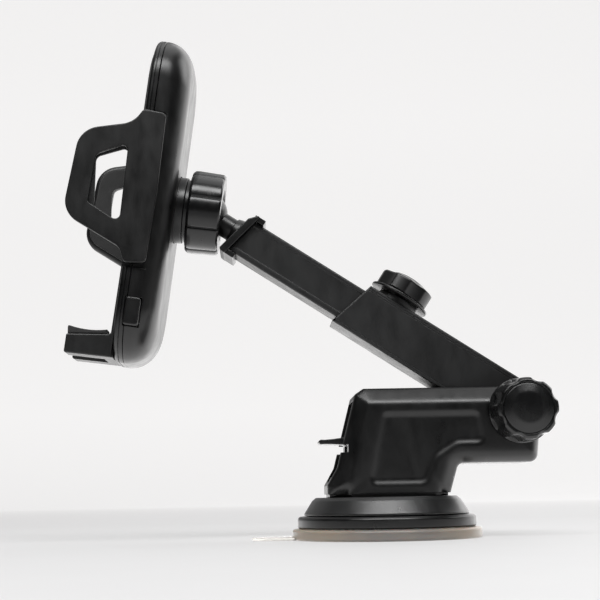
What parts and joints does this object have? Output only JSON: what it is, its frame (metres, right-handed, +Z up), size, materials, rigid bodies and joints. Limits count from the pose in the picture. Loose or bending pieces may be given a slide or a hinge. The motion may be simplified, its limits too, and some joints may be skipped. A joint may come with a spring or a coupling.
{
  "type": "car phone mount",
  "caption": "Suction-cup phone mount with a lock lever, a pivoting telescopic arm, a lobed ball-joint nut and a spring-opened cradle with side claws and a sliding foot.",
  "frame": {"origin": "centre of the suction pad's underside", "axes": "+Z up, +X towards the arm's pivot, -X the phone's side, -Y the pivot knob's side"},
  "size_m": [0.1778, 0.07, 0.1897],
  "materials": {
    "satin_black": "satin moulded black with a fine grain",
    "matt_black": "matt moulded black",
    "gloss_black": "smooth, nearly glossy black",
    "soft_rubber": "soft matt rubber",
    "smoky_gel": "translucent smoky gel with a clear pull tab",
    "white_nylon": "natural nylon",
    "zinc_steel": "zinc-plated steel",
    "spring_steel": "drawn spring wire",
    "brass": "turned brass"
  },
  "bodies": {
    "base": {"gel_pad": "smoky_gel", "base_disc": "satin_black", "base_ring": "satin_black", "housing_near": "satin_black", "housing_far": "satin_black", "stem_spring": "spring_steel", "lever_pin": "zinc_steel", "pivot_bolt": "zinc_steel", "washer_near": "white_nylon", "washer_far": "white_nylon", "base_screw_1": "zinc_steel", "base_screw_2": "zinc_steel", "base_screw_3": "zinc_steel", "base_screw_4": "zinc_steel", "housing_screw_1": "zinc_steel", "housing_screw_2": "zinc_steel", "housing_screw_3": "zinc_steel"},
    "lever": {"lock_lever": "satin_black", "cam_pin": "zinc_steel"},
    "stem": {"cup_stem": "white_nylon"},
    "pivot_knob": {"pivot_knob": "gloss_black", "knob_insert": "brass"},
    "outer_arm": {"outer_tube": "matt_black", "clamp_shoe": "white_nylon"},
    "thumb_screw": {"thumb_knob": "satin_black", "clamp_screw": "zinc_steel"},
    "inner_arm": {"inner_tube": "matt_black", "end_cap": "satin_black", "ball_stud": "satin_black", "stud_screw": "zinc_steel"},
    "ball_sleeve": {"ball_sleeve": "white_nylon"},
    "socket_cup": {"socket_cup": "white_nylon"},
    "cradle": {"back_shell": "satin_black", "front_cover": "satin_black", "front_pad": "soft_rubber", "ball_socket": "satin_black", "pinion_pin": "zinc_steel", "claw_spring": "spring_steel", "latch_spring": "spring_steel", "socket_screw_1": "zinc_steel", "socket_screw_2": "zinc_steel", "socket_screw_3": "zinc_steel", "cradle_screw_1": "zinc_steel", "cradle_screw_2": "zinc_steel", "cradle_screw_3": "zinc_steel", "cradle_screw_4": "zinc_steel"},
    "ball_nut": {"ball_nut": "gloss_black"},
    "claw_near": {"claw_near": "matt_black", "claw_pad_near": "soft_rubber"},
    "claw_far": {"claw_far": "matt_black", "claw_pad_far": "soft_rubber"},
    "pinion": {"pinion": "white_nylon"},
    "latch": {"latch": "white_nylon"},
    "button_near": {"release_button_near": "satin_black"},
    "button_far": {"release_button_far": "satin_black"},
    "foot": {"foot": "matt_black", "toe_pad_near": "soft_rubber", "toe_pad_far": "soft_rubber", "foot_retainer": "zinc_steel", "foot_screw": "zinc_steel"}
  },
  "joints": [
    {"name": "lever_swing", "type": "hinge", "parent": "base", "child": "lever", "pos_m": [-0.0053, 0, 0.0346], "axis": [0, -1, 0], "range_deg": [0, 35]},
    {"name": "stem_lift", "type": "slide", "parent": "base", "child": "stem", "axis": [0, 0, 1], "range_m": [0, 0.0033], "deforming": ["stem_spring"]},
    {"name": "arm_pivot", "type": "hinge", "parent": "base", "child": "outer_arm", "pos_m": [0.0483, 0, 0.0452], "axis": [0, 1, 0], "range_deg": [-10, 115]},
    {"name": "pivot_knob_turn", "type": "hinge", "parent": "base", "child": "pivot_knob", "pos_m": [0.0483, 0, 0.0452], "axis": [0, -1, 0], "range_deg": [0, 270]},
    {"name": "thumb_screw_turn", "type": "hinge", "parent": "outer_arm", "child": "thumb_screw", "pos_m": [0.0058, 0, 0.08729], "axis": [0.5468, 0, 0.8372], "range_deg": [0, 270]},
    {"name": "arm_slide", "type": "slide", "parent": "outer_arm", "child": "inner_arm", "axis": [-0.8372, 0, 0.5468], "range_m": [-0.034, 0.004]},
    {"name": "ball_tilt", "type": "hinge", "parent": "inner_arm", "child": "ball_sleeve", "pos_m": [-0.0664, 0, 0.124], "axis": [0, 1, 0], "range_deg": [0, 50]},
    {"name": "ball_swivel", "type": "hinge", "parent": "ball_sleeve", "child": "socket_cup", "pos_m": [-0.0664, 0, 0.124], "axis": [0.1357, 0, 0.9907], "range_deg": [-12, 12]},
    {"name": "cradle_roll", "type": "hinge", "parent": "socket_cup", "child": "cradle", "pos_m": [-0.0664, 0, 0.124], "axis": [0.9907, 0, -0.1357], "continuous": true},
    {"name": "ball_nut_turn", "type": "hinge", "parent": "cradle", "child": "ball_nut", "pos_m": [-0.0664, 0, 0.124], "axis": [0.9907, 0, -0.1357], "range_deg": [0, 270]},
    {"name": "claw_near_slide", "type": "slide", "parent": "cradle", "child": "claw_near", "axis": [0, -1, 0], "range_m": [0, 0.019]},
    {"name": "claw_far_slide", "type": "slide", "parent": "cradle", "child": "claw_far", "axis": [0, 1, 0], "range_m": [0, 0.019]},
    {"name": "pinion_turn", "type": "hinge", "parent": "cradle", "child": "pinion", "pos_m": [-0.0664, 0, 0.124], "axis": [0.9907, 0, -0.1357], "range_deg": [0, 260]},
    {"name": "button_near_press", "type": "slide", "parent": "cradle", "child": "button_near", "axis": [0, 1, 0], "range_m": [0, 0.0025]},
    {"name": "button_far_press", "type": "slide", "parent": "cradle", "child": "button_far", "axis": [0, -1, 0], "range_m": [0, 0.0025]},
    {"name": "latch_slide", "type": "slide", "parent": "cradle", "child": "latch", "axis": [-0.1357, 0, -0.9907], "range_m": [0, 0.0015], "deforming": ["latch_spring"]},
    {"name": "foot_slide", "type": "slide", "parent": "cradle", "child": "foot", "axis": [-0.1357, 0, -0.9907], "range_m": [0, 0.014]}
  ],
  "couplings": [
    {"joint": "stem_lift", "follows": "lever_swing", "m_per_rad": 0.00539},
    {"joint": "claw_far_slide", "follows": "claw_near_slide", "ratio": 1},
    {"joint": "pinion_turn", "follows": "claw_near_slide", "rad_per_m": 238.1},
    {"joint": "latch_slide", "follows": "button_near_press", "ratio": 0.6}
  ]
}
